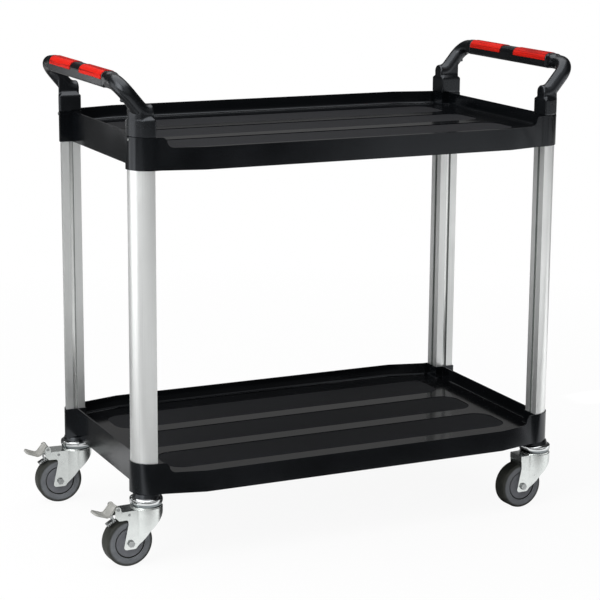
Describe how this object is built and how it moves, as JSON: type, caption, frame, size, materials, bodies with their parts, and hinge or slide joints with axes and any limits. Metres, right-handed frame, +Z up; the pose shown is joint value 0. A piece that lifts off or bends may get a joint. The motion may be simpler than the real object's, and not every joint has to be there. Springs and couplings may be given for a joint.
{
  "type": "tray trolley",
  "caption": "Tray trolley: black moulded trays with a low front lip on quarter-round aluminium uprights, push handles with red grip pads at both ends, and swivel castors, braked at one end.",
  "frame": {"origin": "on the floor under the middle of the trolley's overall box", "axes": "+X along the trolley towards the end without brakes, +Y from the low front lip to the rear, +Z up"},
  "size_m": [1.1036, 0.5414, 0.9992],
  "materials": {
    "black_plastic": "satin moulded polypropylene with a fine grain",
    "aluminium": "satin anodised extrusion",
    "red_pad": "soft-touch moulded grip",
    "zinc_steel": "zinc-plated pressed sheet",
    "chrome_cap": "bright plated pressing",
    "grey_rubber": "non-marking rubber",
    "grey_core": "moulded",
    "bush_nylon": "plain",
    "pedal_grey": "satin grey paint",
    "bright_steel": "bright zinc"
  },
  "bodies": {
    "frame": {"top_tray": "black_plastic", "bottom_tray": "black_plastic", "upright_front_left": "aluminium", "handle_arm_front_left": "black_plastic", "castor_socket_front_left": "black_plastic", "castor_cap_front_left": "chrome_cap", "upright_front_right": "aluminium", "handle_arm_front_right": "black_plastic", "castor_socket_front_right": "black_plastic", "castor_cap_front_right": "chrome_cap", "upright_rear_left": "aluminium", "handle_arm_rear_left": "black_plastic", "castor_socket_rear_left": "black_plastic", "castor_cap_rear_left": "chrome_cap", "upright_rear_right": "aluminium", "handle_arm_rear_right": "black_plastic", "castor_socket_rear_right": "black_plastic", "castor_cap_rear_right": "chrome_cap", "corner_screws": "bright_steel", "castor_stems": "bright_steel", "grip_bar_left": "black_plastic", "grip_pad_front_left": "red_pad", "grip_pad_rear_left": "red_pad", "grip_bar_right": "black_plastic", "grip_pad_front_right": "red_pad", "grip_pad_rear_right": "red_pad"},
    "swivel_front_left": {"castor_fork_front_left": "zinc_steel", "swivel_bearing_front_left": "bright_steel", "castor_axle_front_left": "bright_steel", "brake_pins_front_left": "bright_steel"},
    "wheel_front_left": {"wheel_core_front_left": "grey_core", "tyre_front_left": "grey_rubber", "hub_bush_front_left": "bush_nylon"},
    "pedal_front_left": {"brake_pedal_front_left": "pedal_grey", "brake_shoe_front_left": "bright_steel"},
    "swivel_front_right": {"castor_fork_front_right": "zinc_steel", "swivel_bearing_front_right": "bright_steel", "castor_axle_front_right": "bright_steel"},
    "wheel_front_right": {"wheel_core_front_right": "grey_core", "tyre_front_right": "grey_rubber", "hub_bush_front_right": "bush_nylon"},
    "swivel_rear_left": {"castor_fork_rear_left": "zinc_steel", "swivel_bearing_rear_left": "bright_steel", "castor_axle_rear_left": "bright_steel", "brake_pins_rear_left": "bright_steel"},
    "wheel_rear_left": {"wheel_core_rear_left": "grey_core", "tyre_rear_left": "grey_rubber", "hub_bush_rear_left": "bush_nylon"},
    "pedal_rear_left": {"brake_pedal_rear_left": "pedal_grey", "brake_shoe_rear_left": "bright_steel"},
    "swivel_rear_right": {"castor_fork_rear_right": "zinc_steel", "swivel_bearing_rear_right": "bright_steel", "castor_axle_rear_right": "bright_steel"},
    "wheel_rear_right": {"wheel_core_rear_right": "grey_core", "tyre_rear_right": "grey_rubber", "hub_bush_rear_right": "bush_nylon"}
  },
  "joints": [
    {"name": "castor_swivel_front_left", "type": "hinge", "parent": "frame", "child": "swivel_front_left", "pos_m": [-0.43412, -0.2208, 0.14], "axis": [0, 0, 1], "continuous": true},
    {"name": "wheel_spin_front_left", "type": "hinge", "parent": "swivel_front_left", "child": "wheel_front_left", "pos_m": [-0.47706, -0.22305, 0.05], "axis": [-0.0523, 0.9986, 0], "continuous": true},
    {"name": "brake_pedal_front_left", "type": "hinge", "parent": "swivel_front_left", "child": "pedal_front_left", "pos_m": [-0.50403, -0.22446, 0.1251], "axis": [0.0523, -0.9986, 0], "range_deg": [0, 9]},
    {"name": "castor_swivel_front_right", "type": "hinge", "parent": "frame", "child": "swivel_front_right", "pos_m": [0.48748, -0.2208, 0.14], "axis": [0, 0, 1], "continuous": true},
    {"name": "wheel_spin_front_right", "type": "hinge", "parent": "swivel_front_right", "child": "wheel_front_right", "pos_m": [0.44458, -0.2238, 0.05], "axis": [-0.0698, 0.9976, 0], "continuous": true},
    {"name": "castor_swivel_rear_left", "type": "hinge", "parent": "frame", "child": "swivel_rear_left", "pos_m": [-0.43412, 0.2208, 0.14], "axis": [0, 0, 1], "continuous": true},
    {"name": "wheel_spin_rear_left", "type": "hinge", "parent": "swivel_rear_left", "child": "wheel_rear_left", "pos_m": [-0.47702, 0.2238, 0.05], "axis": [0.0698, 0.9976, 0], "continuous": true},
    {"name": "brake_pedal_rear_left", "type": "hinge", "parent": "swivel_rear_left", "child": "pedal_rear_left", "pos_m": [-0.50395, 0.22568, 0.1251], "axis": [-0.0698, -0.9976, 0], "range_deg": [0, 9]},
    {"name": "castor_swivel_rear_right", "type": "hinge", "parent": "frame", "child": "swivel_rear_right", "pos_m": [0.48748, 0.2208, 0.14], "axis": [0, 0, 1], "continuous": true},
    {"name": "wheel_spin_rear_right", "type": "hinge", "parent": "swivel_rear_right", "child": "wheel_rear_right", "pos_m": [0.44448, 0.2208, 0.05], "axis": [0, 1, 0], "continuous": true}
  ]
}
